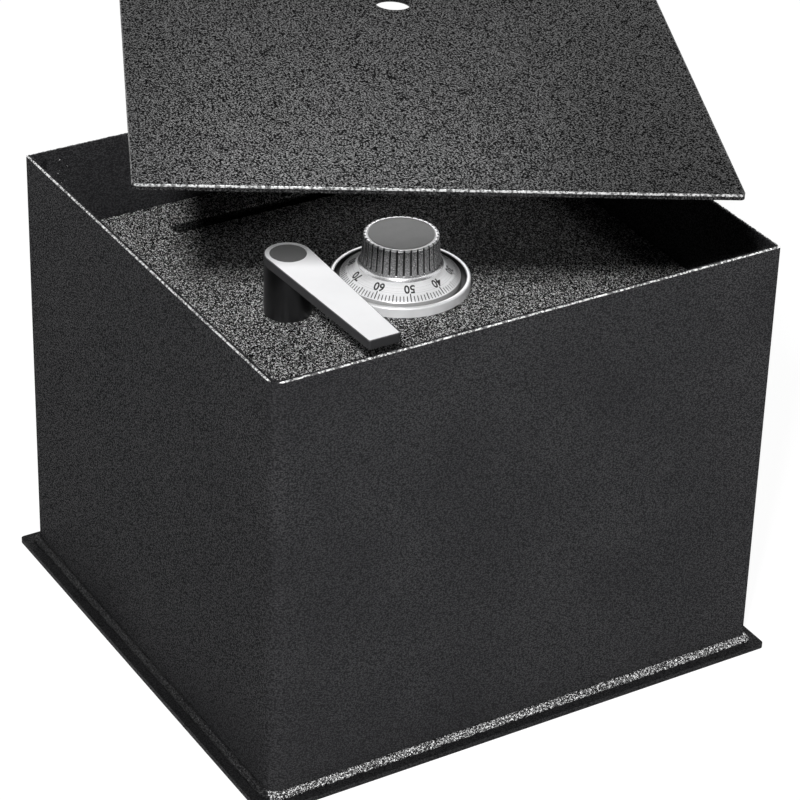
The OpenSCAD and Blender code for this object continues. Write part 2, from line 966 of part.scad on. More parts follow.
module fence_lever() {
    plate_left = lever_screw_x - lever_screw_r - lever_screw_margin;
    fence_left = wheel_r + fence_tip_gap;
    fence_right = fence_x + fence_arm_w;
    color(steel)
        difference() {
            union() {
                translate([plate_left, fence_front, fence_z])
                    cube([fence_right - plate_left, lock_bolt_back - fence_front, lever_plate_t]);
                translate([fence_x, fence_front, fence_z])
                    cube([fence_arm_w, dial_y + gate_w - fence_front, lever_plate_t]);
                translate([fence_left, dial_y - gate_w, fence_z])
                    cube([fence_right - fence_left, fence_nose_w, wheel_1_z + wheel_t - fence_z]);
            }
            translate([lever_screw_x, lever_screw_y, fence_z - eps])
                cylinder(r = lever_screw_r, h = lever_plate_t + 2 * eps);
        }
}

module lever_screw() {
    color(steel)
        translate([lever_screw_x, lever_screw_y, fence_z])
            cylinder(r = lever_screw_r, h = lever_plate_t + lock_bolt_h - lever_screw_floor);
}

module dial_disc() {
    color(satin)
        translate([0, dial_y, door_top])
            rotate_extrude($fn = 160)
                polygon([[dial_spindle_r, disc_foot],
                         [disc_r, disc_foot],
                         [disc_r, disc_edge_top],
                         [knob_foot_r, disc_top],
                         [dial_spindle_r, disc_top]]);
}

module dial_knob() {
    high = knob_top - disc_top;
    bore = high - inlay_t - knob_roof;
    barrel_lean = atan((knob_low_r - knob_high_r) / (high - knob_chamfer - knob_foot_h));
    color(satin)
        translate([0, dial_y, door_top + disc_top])
            difference() {
                rotate_extrude($fn = 160)
                    polygon([[dial_spindle_r, 0],
                             [knob_foot_r, 0],
                             [knob_low_r, knob_foot_h],
                             [knob_high_r, high - knob_chamfer],
                             [knob_high_r - knob_chamfer, high],
                             [knob_inlay_r, high],
                             [knob_inlay_r, high - inlay_t],
                             [0, high - inlay_t],
                             [0, bore],
                             [dial_spindle_r, bore]]);
                for (i = [0 : flutes - 1])
                    rotate(i * 360 / flutes)
                        translate([knob_low_r, 0, knob_foot_h])
                            rotate([0, -barrel_lean, 0])
                                cylinder(r = flute_r, h = high - knob_foot_h + flute_r, $fn = 24);
            }
}

module knob_inlay() {
    color(inlay_grey)
        translate([0, dial_y, door_top + knob_top - inlay_t])
            cylinder(r = knob_inlay_r, h = inlay_t);
}

module dial_spindle() {
    top = door_top + knob_top - inlay_t - knob_roof;
    color(steel)
        translate([0, dial_y, dial_spindle_end])
            cylinder(r = dial_spindle_r, h = top - dial_spindle_end);
}

// A disc with one gate in its rim, facing the fence
module gated_disc(bore_r, thickness) {
    linear_extrude(thickness)
        difference() {
            circle(wheel_r);
            circle(bore_r);
            translate([wheel_r - gate_depth, -gate_w / 2])
                square([gate_depth + eps, gate_w]);
        }
}

module drive_cam() {
    color(brassy)
        translate([0, dial_y, cam_z])
            gated_disc(dial_spindle_r, cam_t);
}

module tumbler_wheel(index) {
    peg_turn = peg_turn_1 + peg_turn_step * index;
    color(brassy)
        translate([0, dial_y, wheel_1_z - index * wheel_step]) {
            gated_disc(post_r + run_gap, wheel_t);
            rotate(peg_turn)
                translate([(wheel_r + post_r) / 2, 0, -wheel_space / 2])
                    cylinder(r = peg_r, h = wheel_space / 2, $fn = 32);
        }
}

module wheel_1() {
    tumbler_wheel(0);
}

module wheel_2() {
    tumbler_wheel(1);
}

module wheel_3() {
    tumbler_wheel(2);
}

module cover_plate() {
    cover_w = inner_w - 2 * cover_gap;
    cover_d = inner_d - 2 * cover_gap;
    color(paint)
        translate([cover_shift_x, cover_shift_y, body_h + cover_lift])
            rotate(cover_yaw)
                rotate([cover_pitch, 0, 0])
                    rotate([0, cover_roll, 0])
                        linear_extrude(cover_t)
                            difference() {
                                round_rect(cover_w, cover_d, cover_corner_r);
                                translate([0, cover_d / 2 - finger_back])
                                    circle(finger_r);
                            }
}

base_plate();
shell_front_left();
shell_back_right();
seam_welds();
foot_weld();
ledge_front();
ledge_left();
ledge_right();
cover_tabs();
hinge_blocks();
hinge_pins();
door_plate();
hinge_ears();
slot_baffle();
bolt_guide();
guide_studs();
handle_bush();
dial_ring();
lock_case();
lock_cover();
lock_screws();
wheel_post();
handle_hub();
handle_lever();
handle_inlay();
handle_spindle();
handle_crank();
crank_pin();
spindle_nut();
bolt_carriage();
locking_bolts();
bolt_nuts();
lock_bolt();
fence_lever();
lever_screw();
dial_disc();
dial_knob();
knob_inlay();
dial_spindle();
drive_cam();
wheel_1();
wheel_2();
wheel_3();
cover_plate();
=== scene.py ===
"""Looks of the floor safe: textured paint, weld beads, dial, knob and lever, with light and camera."""

import json
import math
import random

import bmesh
import bpy
from mathutils import Matrix, Vector, noise


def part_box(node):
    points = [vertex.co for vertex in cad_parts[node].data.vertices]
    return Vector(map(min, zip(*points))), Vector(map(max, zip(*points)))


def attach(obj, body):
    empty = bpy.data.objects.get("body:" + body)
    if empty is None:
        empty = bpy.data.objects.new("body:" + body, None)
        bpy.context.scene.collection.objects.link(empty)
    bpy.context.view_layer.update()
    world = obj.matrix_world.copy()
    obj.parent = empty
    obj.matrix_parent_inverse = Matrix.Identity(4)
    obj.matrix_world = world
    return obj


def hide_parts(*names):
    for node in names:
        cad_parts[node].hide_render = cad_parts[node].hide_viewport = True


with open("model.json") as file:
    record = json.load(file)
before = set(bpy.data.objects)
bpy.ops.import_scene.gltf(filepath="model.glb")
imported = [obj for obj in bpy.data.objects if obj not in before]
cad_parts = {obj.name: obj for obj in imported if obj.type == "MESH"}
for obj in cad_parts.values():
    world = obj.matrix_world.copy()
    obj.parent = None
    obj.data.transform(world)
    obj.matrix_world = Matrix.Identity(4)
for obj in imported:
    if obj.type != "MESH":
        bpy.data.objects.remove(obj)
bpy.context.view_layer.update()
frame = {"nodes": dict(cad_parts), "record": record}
nodes = frame["nodes"]
MM = 0.001
SEED = 7
UP = (0, 0, 1)

# Places that the looks follow, in metres, from the frame
shell_low, shell_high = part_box("shell_front_left")
plate_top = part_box("base_plate")[1].z
door_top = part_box("door_plate")[1].z
ring_low, ring_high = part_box("dial_ring")
disc_low, disc_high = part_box("dial_disc")
knob_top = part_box("dial_knob")[1].z
inlay_low, inlay_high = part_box("knob_inlay")
lever_low, lever_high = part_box("handle_lever")
cap_low, cap_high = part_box("handle_inlay")
DIAL_AXIS = ((ring_low.x + ring_high.x) / 2, (ring_low.y + ring_high.y) / 2)

# Sizes that a node's box does not tell, the same as in the part's source
BEND_R = 8 * MM
WALL = 2.5 * MM
SEAM_END = 2 * MM
FOOT_BEAD = 4.5 * MM
SEAM_BEAD = 2.5 * MM
COVER_PITCH = math.radians(-2.3)
COVER_ROLL = math.radians(2.5)
COVER_HALF_W = 152 * MM
COVER_HALF_D = 140 * MM
RING_LIP = 2.5 * MM
RING_FLOOR = 2 * MM
DISC_EDGE_H = 3.8 * MM
KNOB_FOOT_R = 24 * MM
KNOB_LOW_R = 22.2 * MM
KNOB_HIGH_R = 21.2 * MM
KNOB_FOOT_H = 3 * MM
FLUTES = 34


# Materials


class Graph:
    """A short way to write a material's nodes."""

    def __init__(self, name):
        self.material = bpy.data.materials.new(name)
        self.material.use_nodes = True
        self.tree = self.material.node_tree
        self.shader = self.tree.nodes["Principled BSDF"]

    def add(self, kind, inputs=None, **settings):
        """A new node. Its inputs are values or the outputs of other nodes."""
        node = self.tree.nodes.new(kind)
        for key, value in settings.items():
            setattr(node, key, value)
        for key, value in (inputs or {}).items():
            self.feed(node.inputs[key], value)
        return node

    def feed(self, socket, value):
        if isinstance(value, bpy.types.NodeSocket):
            self.tree.links.new(value, socket)
        else:
            socket.default_value = value

    def place(self):
        """The place on the surface, in metres in the object's own frame."""
        return self.add("ShaderNodeTexCoord").outputs["Object"]

    def noise(self, place, size, detail=2.0, roughness=0.5):
        inputs = {"Vector": place, "Scale": 1 / size, "Detail": detail, "Roughness": roughness}
        return self.add("ShaderNodeTexNoise", inputs).outputs["Fac"]

    def cells(self, place, size, smoothness):
        inputs = {"Vector": place, "Scale": 1 / size, "Smoothness": smoothness}
        return self.add("ShaderNodeTexVoronoi", inputs, feature="SMOOTH_F1").outputs["Distance"]

    def math(self, operation, a, b=0.0):
        return self.add("ShaderNodeMath", {0: a, 1: b}, operation=operation).outputs["Value"]

    def vector(self, operation, a, b):
        return self.add("ShaderNodeVectorMath", {0: a, 1: b}, operation=operation).outputs["Vector"]

    def reach(self, vector, axis):
        """How far a vector reaches along an axis."""
        inputs = {0: vector, 1: tuple(axis)}
        return self.add("ShaderNodeVectorMath", inputs, operation="DOT_PRODUCT").outputs["Value"]

    def remap(self, value, low, high, to_low, to_high):
        inputs = {"Value": value, "From Min": low, "From Max": high, "To Min": to_low, "To Max": to_high}
        return self.add("ShaderNodeMapRange", inputs).outputs["Result"]

    def rise(self, value, low, high, top=1.0):
        """0 up to low, and top from high on."""
        return self.remap(value, low, high, 0.0, top)

    def beyond(self, value, limit, width):
        """0 up to the limit, rising to 1 over the width."""
        return self.rise(value, limit, limit + width)

    def blend(self, factor, a, b):
        node = self.add("ShaderNodeMix", data_type="RGBA")
        self.feed(node.inputs["Factor"], factor)
        self.feed(node.inputs["A"], a)
        self.feed(node.inputs["B"], b)
        return node.outputs["Result"]

    def bump(self, height, depth):
        inputs = {"Height": height, "Distance": depth, "Strength": 1.0}
        self.feed(self.shader.inputs["Normal"], self.add("ShaderNodeBump", inputs).outputs["Normal"])

    def set(self, **values):
        """Sets inputs of the shader, with low lines for the spaces in their names."""
        for key, value in values.items():
            self.feed(self.shader.inputs[key.replace("_", " ")], value)


def grey(level, blue=1.0):
    """A grey, a little blue where blue is over 1."""
    return (level, level, level * blue, 1.0)


def darker(color, share):
    return tuple(part * share for part in color[:3]) + (1.0,)


# Levels of a noise between which its effect comes in
EVEN = (0.3, 0.7)
PATCHY = (0.35, 0.7)

# The paint's make-up. Sizes are shares of its grain unless they are in millimetres.
WANDER_SIZE = 1.3
WANDER_REACH = 1.4
LUMP_SMOOTH = 0.25
LUMP_SHARP = 1.6
LUMP_SPAN = 0.55
RESIN_SPAN = (0.4, 0.65)
GRIT_SIZE = 0.4
GRIT_HEIGHT = 0.3
SWELL_SIZE = 5.0
SWELL_HEIGHT = 0.25
# Size and span of the pale specks, which are painted glints, and the share of them left below the face
PAINTED_GLINT_SIZE = 0.8
PAINTED_GLINT_SPAN = (0.54, 0.60)
PAINTED_GLINT_LOW_DOWN = 0.15
CLOUD_SIZE = 60 * MM
CLOUD_TONE = 1.4
CLOUD_GLOSS = 0.06
# Share of the tone left in the pits between the lumps: painted shade
PIT_SHADE_TONE = 0.4
COOL = 1.06
CLOUD_COOL = 1.04
EDGE_FADE = 0.4 * MM
# A pale metallic line along an edge, broken up by noise: a painted highlight
EDGE_HIGHLIGHT_BREAK_SIZE = 1.3 * MM
EDGE_HIGHLIGHT_BREAK_SPAN = (0.42, 0.56)
EDGE_HIGHLIGHT_LEAST = 0.12
EDGE_HIGHLIGHT_TONE = 0.8


def warped_place(graph, laid, grain):
    """The place, wandering a little, so that the lumps have no even shape."""
    inputs = {"Vector": laid, "Scale": 1 / (grain * WANDER_SIZE), "Detail": 1.0}
    wander = graph.add("ShaderNodeTexNoise", inputs).outputs["Color"]
    centred = graph.vector("SUBTRACT", wander, (0.5, 0.5, 0.5))
    inputs = {0: centred, "Scale": grain * WANDER_REACH}
    shift = graph.add("ShaderNodeVectorMath", inputs, operation="SCALE").outputs["Vector"]
    return graph.vector("ADD", laid, shift)


def powder_coat(
    name, tone, grain, depth, gloss, sheen, glint=0.0, pull=(1, 1, 1), turn=0.0, edge=None, above=None
):
    """Black textured powder coat. grain is the width of its lumps and depth their height, in metres.

    sheen is the specular level of its pits and of its lumps, which hold more of the clear resin. glint is
    the tone of its pale specks, which are painted glints. pull and turn stretch the grain along the sheet.
    edge is a function that finds how near a place is to the sheet's edge, where a highlight is painted.
    above keeps most of the painted glints to the face over a height.
    """
    graph = Graph(name)
    place = graph.place()
    inputs = {"Vector": place, "Scale": pull, "Rotation": (0, 0, turn)}
    laid = graph.add("ShaderNodeMapping", inputs).outputs["Vector"]
    warped = warped_place(graph, laid, grain)

    pits = graph.math("POWER", graph.cells(warped, grain, LUMP_SMOOTH), LUMP_SHARP)
    lumps = graph.remap(pits, 0.0, LUMP_SPAN, 1.0, 0.0)
    grit = graph.noise(laid, grain * GRIT_SIZE, detail=1.0)
    swell = graph.noise(place, grain * SWELL_SIZE, detail=1.0)
    height = graph.math("ADD", lumps, graph.math("MULTIPLY", grit, GRIT_HEIGHT))
    height = graph.math("ADD", height, graph.math("MULTIPLY", swell, SWELL_HEIGHT))

    cloud = graph.noise(place, CLOUD_SIZE, detail=3.0)
    color = graph.blend(graph.rise(cloud, *PATCHY), grey(tone, COOL), grey(tone * CLOUD_TONE, CLOUD_COOL))
    # The pits are darker: painted shade
    color = graph.blend(lumps, grey(tone * PIT_SHADE_TONE, COOL), color)
    level = graph.remap(lumps, *RESIN_SPAN, *sheen)
    rough = graph.remap(cloud, *EVEN, gloss, gloss + CLOUD_GLOSS)
    # Pale specks in the colour: painted glints
    painted_glints = graph.rise(graph.noise(warped, grain * PAINTED_GLINT_SIZE, roughness=0.6), *PAINTED_GLINT_SPAN)
    if above:
        upper = graph.beyond(graph.reach(place, UP), above, EDGE_FADE)
        painted_glints = graph.math("MULTIPLY", painted_glints, graph.remap(upper, 0.0, 1.0, PAINTED_GLINT_LOW_DOWN, 1.0))
    if glint:
        color = graph.blend(painted_glints, color, grey(glint))
    if edge:
        # A pale metallic line along the edge, broken up by noise: a painted highlight
        highlight_breaks = graph.remap(graph.noise(place, EDGE_HIGHLIGHT_BREAK_SIZE, detail=1.0), *EDGE_HIGHLIGHT_BREAK_SPAN, EDGE_HIGHLIGHT_LEAST, 1.0)
        painted_edge_highlight = graph.math("MULTIPLY", edge(graph, place), highlight_breaks)
        color = graph.blend(painted_edge_highlight, color, grey(EDGE_HIGHLIGHT_TONE))
        graph.set(Metallic=painted_edge_highlight)
    graph.set(Base_Color=color, Roughness=rough, Specular_IOR_Level=level)
    graph.bump(height, depth)
    return graph.material


RIM_SIDE = 1.1 * MM
RIM_TOP = 0.8 * MM


def rim_edge(graph, place):
    """Nearness to the outer edge of the walls' rim, where a highlight is painted."""
    off_x = graph.math("ABSOLUTE", graph.reach(place, (1, 0, 0)))
    off_y = graph.math("ABSOLUTE", graph.reach(place, (0, 1, 0)))
    far_x = graph.beyond(off_x, shell_high.x - RIM_SIDE, EDGE_FADE)
    far_y = graph.beyond(off_y, shell_high.y - RIM_SIDE, EDGE_FADE)
    upper = graph.beyond(graph.reach(place, UP), shell_high.z - RIM_TOP, EDGE_FADE)
    return graph.math("MULTIPLY", graph.math("MAXIMUM", far_x, far_y), upper)


# Turn of the cover, which the grain of its paint and of the door's follows
SHEET_TURN = math.radians(-25)
COVER_EDGE_WIDE = 0.8 * MM
COVER_EDGE_LOW = 0.3 * MM
# How strong the painted highlight is on the cover's sides and on its front
COVER_SIDE_HIGHLIGHT = 0.15
COVER_FRONT_HIGHLIGHT = 0.7


def cover_edge(graph, place):
    """Nearness to the upper edge of the cover plate, where a highlight is painted, strongest along its front.
    """
    low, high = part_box("cover_plate")
    turned = Matrix.Rotation(SHEET_TURN, 3, "Z")
    tilt = turned @ Matrix.Rotation(COVER_PITCH, 3, "X") @ Matrix.Rotation(COVER_ROLL, 3, "Y")
    offset = graph.vector("SUBTRACT", place, tuple((low + high) / 2))
    off_side = graph.math("ABSOLUTE", graph.reach(offset, tilt.col[0]))
    side = graph.beyond(off_side, COVER_HALF_W - COVER_EDGE_WIDE, EDGE_FADE)
    front = graph.beyond(graph.reach(offset, -tilt.col[1]), COVER_HALF_D - COVER_EDGE_WIDE, EDGE_FADE)
    upper = graph.beyond(graph.reach(offset, tilt.col[2]), COVER_EDGE_LOW, EDGE_FADE)
    side = graph.math("MULTIPLY", side, COVER_SIDE_HIGHLIGHT)
    front = graph.math("MULTIPLY", front, COVER_FRONT_HIGHLIGHT)
    return graph.math("MULTIPLY", graph.math("MAXIMUM", side, front), upper)


METAL_STAIN_SIZE = 14 * MM
METAL_STAIN_TONE = 0.82


def metal(
    name, tint, roughness, spread=0.06, grain=0.5 * MM, depth=0.004 * MM, metallic=1.0, level=0.5, stained=0.7
):
    """Metal with fine machining marks.

    metallic below 1 makes a satin, whitish finish, and stained gives its unevenness.
    """
    graph = Graph(name)
    place = graph.place()
    color = tint + (1.0,)
    marks = graph.noise(place, grain, detail=3.0, roughness=0.6)
    stain = graph.rise(graph.noise(place, METAL_STAIN_SIZE), *PATCHY, top=stained)
    graph.set(
        Base_Color=graph.blend(stain, color, darker(color, METAL_STAIN_TONE)),
        Roughness=graph.remap(marks, *EVEN, roughness - spread / 2, roughness + spread / 2),
        Metallic=metallic,
        Specular_IOR_Level=level,
    )
    graph.bump(marks, depth)
    return graph.material


TURNED_RING = 0.22 * MM
TURNED_DEPTH = 0.002 * MM
TURNED_STAIN_SIZE = 9 * MM
TURNED_STAIN_TONE = 0.86
TURNED_STAIN = 0.6
TURNED_SMOOTHER = 0.04
TURNED_ROUGHER = 0.06


def turned_metal(name, tint, roughness, metallic):
    """Metal brushed in circles round the dial's axis."""
    graph = Graph(name)
    color = tint + (1.0,)
    offset = graph.vector("SUBTRACT", graph.place(), DIAL_AXIS + (0.0,))
    flat = graph.vector("MULTIPLY", offset, (1.0, 1.0, 0.0))
    radius = graph.add("ShaderNodeVectorMath", {0: flat}, operation="LENGTH").outputs["Value"]
    inputs = {"W": radius, "Scale": 1 / TURNED_RING, "Detail": 3.0}
    rings = graph.add("ShaderNodeTexNoise", inputs, noise_dimensions="1D").outputs["Fac"]
    stain = graph.rise(graph.noise(graph.place(), TURNED_STAIN_SIZE), *PATCHY, top=TURNED_STAIN)
    graph.set(
        Base_Color=graph.blend(stain, color, darker(color, TURNED_STAIN_TONE)),
        Roughness=graph.remap(rings, *EVEN, roughness - TURNED_SMOOTHER, roughness + TURNED_ROUGHER),
        Metallic=metallic,
    )
    graph.bump(rings, TURNED_DEPTH)
    return graph.material


MOTTLE_SIZE = 0.5 * MM
MOTTLE_DEPTH = 0.012 * MM
MOTTLE_TONES = (0.9, 1.15)
PLASTIC_CLOUD_SIZE = 9 * MM
PLASTIC_CLOUD_SPAN = (0.4, 0.7)
PLASTIC_CLOUD = 0.35
PLASTIC_CLOUD_TONE = 1.3


def satin_plastic(name, tone, roughness, level=0.12):
    """Grey satin plastic with a faint mottle."""
    graph = Graph(name)
    place = graph.place()
    mottle = graph.noise(place, MOTTLE_SIZE)
    cloud = graph.rise(graph.noise(place, PLASTIC_CLOUD_SIZE), *PLASTIC_CLOUD_SPAN, top=PLASTIC_CLOUD)
    dark, pale = (grey(tone * share) for share in MOTTLE_TONES)
    color = graph.blend(graph.rise(mottle, *EVEN), dark, pale)
    color = graph.blend(cloud, color, grey(tone * PLASTIC_CLOUD_TONE))
    graph.set(Base_Color=color, Roughness=roughness, Specular_IOR_Level=level)
    graph.bump(mottle, MOTTLE_DEPTH)
    return graph.material


INK_SPECK_SIZE = 0.3 * MM
INK_TONES = (0.006, 0.014)
INK_ROUGHNESS = 0.5


def ink(name):
    """Black paint that fills the dial's marks."""
    graph = Graph(name)
    specks = graph.rise(graph.noise(graph.place(), INK_SPECK_SIZE), *EVEN)
    dark, pale = (grey(tone) for tone in INK_TONES)
    graph.set(Base_Color=graph.blend(specks, dark, pale), Roughness=INK_ROUGHNESS)
    return graph.material


# Each paint's glint is the tone of its painted glints
wall_paint = powder_coat(
    "wall_paint",
    tone=0.028,
    grain=0.75 * MM,
    depth=0.42 * MM,
    gloss=0.42,
    sheen=(0.0, 0.05),
    pull=(0.7, 0.7, 1),
    edge=rim_edge,
)
plate_paint = powder_coat(
    "plate_paint", tone=0.014, grain=0.8 * MM, depth=0.3 * MM, gloss=0.42, sheen=(0.02, 0.12)
)
door_paint = powder_coat(
    "door_paint",
    tone=0.006,
    grain=0.9 * MM,
    depth=0.15 * MM,
    gloss=0.28,
    sheen=(0.0, 0.03),
    glint=0.56,
    pull=(1, 0.75, 1),
    turn=SHEET_TURN,
    above=door_top - 1.5 * MM,
)
cover_paint = powder_coat(
    "cover_paint",
    tone=0.006,
    grain=0.88 * MM,
    depth=0.042 * MM,
    gloss=0.14,
    sheen=(0.0, 0.26),
    glint=0.035,
    pull=(1, 0.75, 1),
    turn=SHEET_TURN,
    edge=cover_edge,
)
weld_paint = powder_coat(
    "weld_paint", tone=0.009, grain=1.0 * MM, depth=0.35 * MM, gloss=0.2, sheen=(0.1, 1.0), glint=0.6
)
# Copy of the weld paint with almost no painted glints, for the left and back: painted shade
weld_paint_painted_shade = powder_coat(
    "weld_paint_painted_shade", tone=0.014, grain=1.0 * MM, depth=0.35 * MM, gloss=0.3, sheen=(0.02, 0.2), glint=0.03
)

satin_metal = metal("satin_metal", (0.88, 0.88, 0.89), 0.34, metallic=0.04, level=0.15, stained=0.15)
# The lever's sides get a dark tint that is a painted dark reflection
lever_side_painted_dark_metal = metal("lever_side_painted_dark_metal", (0.12, 0.12, 0.125), 0.30, metallic=0.75, stained=0.3)
# The hub's dark tint is a painted dark reflection
hub_painted_dark_metal = metal("hub_painted_dark_metal", (0.09, 0.09, 0.093), 0.30, spread=0.04, stained=0.3)
knob_metal = metal(
    "knob_metal", (0.70, 0.70, 0.71), 0.26, spread=0.04, depth=0.001 * MM, metallic=0.8, stained=0.15
)
# Near white for the knob's upper edge: a painted highlight
knob_edge_painted_highlight = metal("knob_edge_painted_highlight", (0.97, 0.97, 0.98), 0.22, spread=0.04, metallic=0.25)
bright_steel = metal("bright_steel", (0.50, 0.50, 0.51), 0.25)
zinc_plate = metal("zinc_plate", (0.42, 0.43, 0.44), 0.38, grain=2.5 * MM, depth=0.01 * MM)
brass = metal("brass", (0.62, 0.47, 0.20), 0.28)
turned_satin = turned_metal("turned_satin", (0.80, 0.80, 0.81), 0.30, metallic=0.35)
ring_side = turned_metal("ring_side", (0.85, 0.85, 0.86), 0.34, metallic=0.5)
inlay = satin_plastic("inlay", 0.24, 0.42)
knob_inlay_satin = satin_plastic("knob_inlay_satin", 0.34, 0.42, level=0.5)
cap_inlay = satin_plastic("cap_inlay", 0.09, 0.42)
shadow_grey = satin_plastic("shadow_grey", 0.05, 0.5)
# Near black for the bottoms of the knob's grooves: painted shade
groove_painted_shade = satin_plastic("groove_painted_shade", 0.012, 0.5)
dial_ink = ink("dial_ink")

# The finish of each material slot, and of the nodes that differ from their slot
SLOT_FINISH = {
    "wall_paint": wall_paint,
    "door_paint": door_paint,
    "cover_paint": cover_paint,
    "satin_metal": satin_metal,
    "inlay": inlay,
    "bright_steel": bright_steel,
    "zinc_plate": zinc_plate,
    "brass": brass,
}
NODE_FINISH = {
    "handle_hub": hub_painted_dark_metal,
    "handle_inlay": cap_inlay,
    "base_plate": plate_paint,
    "knob_inlay": knob_inlay_satin,
}


# Mesh helpers

MERGE = 1e-7
SHARP = 35
ROUNDED_SHARP = 50


def piece(name, mesh, materials, body, stands_for=(), sharp=SHARP):
    """Makes the finished mesh a named piece that rides on a body."""
    obj = bpy.data.objects.new(name, mesh)
    bpy.context.scene.collection.objects.link(obj)
    for used in materials:
        mesh.materials.append(used)
    mesh.shade_smooth()
    mesh.set_sharp_from_angle(angle=math.radians(sharp))
    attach(obj, body)
    if stands_for:
        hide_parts(*stands_for)
    return obj


def finished_mesh(bm, name):
    """The mesh of a bmesh, which is freed."""
    mesh = bpy.data.meshes.new(name)
    bm.to_mesh(mesh)
    bm.free()
    return mesh


def ordered_mesh(bm, name):
    """The mesh of a bmesh, which is freed, with its faces in the same order each run."""
    bm.verts.index_update()
    places = [vert.co.copy() for vert in bm.verts]
    faces = sorted([vert.index for vert in face.verts] for face in bm.faces)
    bm.free()
    mesh = bpy.data.meshes.new(name)
    mesh.from_pydata(places, [], faces)
    return mesh


def grid_mesh(name, rings, closed_rings, closed_ends=False):
    """A mesh of quads between rings of points. closed_ends also joins the last ring to the first."""
    bm = bmesh.new()
    rows = [[bm.verts.new(point) for point in ring] for ring in rings]
    count = len(rows[0])
    pairs = list(zip(rows, rows[1:]))
    if closed_ends:
        pairs.append((rows[-1], rows[0]))
    for low, high in pairs:
        for i in range(count if closed_rings else count - 1):
            j = (i + 1) % count
            bm.faces.new((low[i], low[j], high[j], high[i]))
    bmesh.ops.remove_doubles(bm, verts=bm.verts, dist=MERGE)
    bmesh.ops.recalc_face_normals(bm, faces=bm.faces)
    return finished_mesh(bm, name)


def lathe(name, profile, steps, shape=None):
    """Turns a closed profile of (radius, height) round the dial's axis.

    shape(radius, height, angle) may change the radius.
    """
    rings = []
    for radius, z in profile:
        ring = []
        for i in range(steps):
            angle = 2 * math.pi * i / steps
            r = shape(radius, z, angle) if shape else radius
            ring.append((DIAL_AXIS[0] + r * math.cos(angle), DIAL_AXIS[1] + r * math.sin(angle), z))
        rings.append(ring)
    return grid_mesh(name, rings, True, True)


def arc(middle, r, start, end, steps):
    """Points of an arc in the profile plane, angles in degrees."""
    angles = [math.radians(start + (end - start) * i / steps) for i in range(steps + 1)]
    return [(middle[0] + r * math.cos(angle), middle[1] + r * math.sin(angle)) for angle in angles]


def off_axis(spot):
    """Distance of a place from the dial's axis, seen from above."""
    return math.hypot(spot.x - DIAL_AXIS[0], spot.y - DIAL_AXIS[1])


# Weld beads

TOUCHING = 1e-9
FOOT_STEP = 0.55 * MM
SEAM_STEP = 0.6 * MM
CORNER_TURNS = 14
TURN_RUN = 0.25 * MM
FOOT_BEAD_POINTS = 12
SEAM_BEAD_POINTS = 6
BEAD_SHARP = 60

# Lengths of the weld's ripples, lumps and crumbs along the bead, and how much each adds to its height
RIPPLE_PER_RADIAN = 0.38 * MM
RIPPLE_WANDER_LENGTH = 3 * MM
RIPPLE_WANDER = 2.5
RIPPLE_LIFT = 0.16
LUMP_LENGTH = 2.1 * MM
LUMPS_ROUND = 2.2
LUMP_LIFT = 0.42
CRUMB_LENGTH = 0.7 * MM
CRUMBS_ROUND = 5.0
CRUMB_LIFT = 0.2

# Radius of a bead as shares of its leg
BEAD_LEAST = 0.76
BEAD_HUMP = 0.24
BEAD_UNEVEN = 0.12


def foot_path(step):
    """Points along the foot of the walls with the outward direction at each, going round once."""
    x, y = shell_high.x, shell_high.y
    corners = [(-x, -y, 180.0, BEND_R), (x, -y, 270.0, 0.0), (x, y, 0.0, BEND_R), (-x, y, 90.0, 0.0)]
    path = []
    for index, (corner_x, corner_y, start, bend) in enumerate(corners):
        centre_x = corner_x - math.copysign(bend, corner_x)
        centre_y = corner_y - math.copysign(bend, corner_y)
        centre = Vector((centre_x, centre_y))
        for i in range(CORNER_TURNS + 1):
            angle = math.radians(start + 90.0 * i / CORNER_TURNS)
            out = Vector((math.cos(angle), math.sin(angle)))
            path.append((centre + out * bend, out))
        next_x, next_y, _, next_bend = corners[(index + 1) % 4]
        turned = math.radians(start + 90)
        ahead = Vector((-math.sin(turned), math.cos(turned)))
        span = abs((next_x - corner_x) * ahead.x + (next_y - corner_y) * ahead.y)
        length = span - bend - next_bend
        begin, out = path[-1]
        for i in range(1, int(length / step)):
            path.append((begin + ahead * step * i, out))
    return path


def ripple(run, turn, seed):
    """Height of a weld's surface at a run along it and a turn round it, about 0 to 1."""
    wander = RIPPLE_WANDER * noise.noise(Vector((run / RIPPLE_WANDER_LENGTH, 0, seed)))
    beat = 0.5 + 0.5 * math.sin(run / RIPPLE_PER_RADIAN + wander)
    lump = noise.noise(Vector((run / LUMP_LENGTH, turn * LUMPS_ROUND, seed)))
    crumb = noise.noise(Vector((run / CRUMB_LENGTH, turn * CRUMBS_ROUND, seed + 5)))
    return 0.5 + RIPPLE_LIFT * (beat - 0.5) + LUMP_LIFT * lump + CRUMB_LIFT * crumb


def bead_radius(leg, passes, run, turn, seed):
    """Radius of a bead at a run along it and a turn round it. Each pass makes a hump."""
    hump = abs(math.sin(passes * math.pi * turn))
    crest = min(1.0, max(0.0, ripple(run, turn, seed)))
    radius = leg * (BEAD_LEAST + BEAD_HUMP * hump * crest)
    radius += leg * BEAD_UNEVEN * (ripple(run, turn * 0.5, seed + 11) - 0.5) * (1 - 0.5 * hump)
    return min(radius, leg)


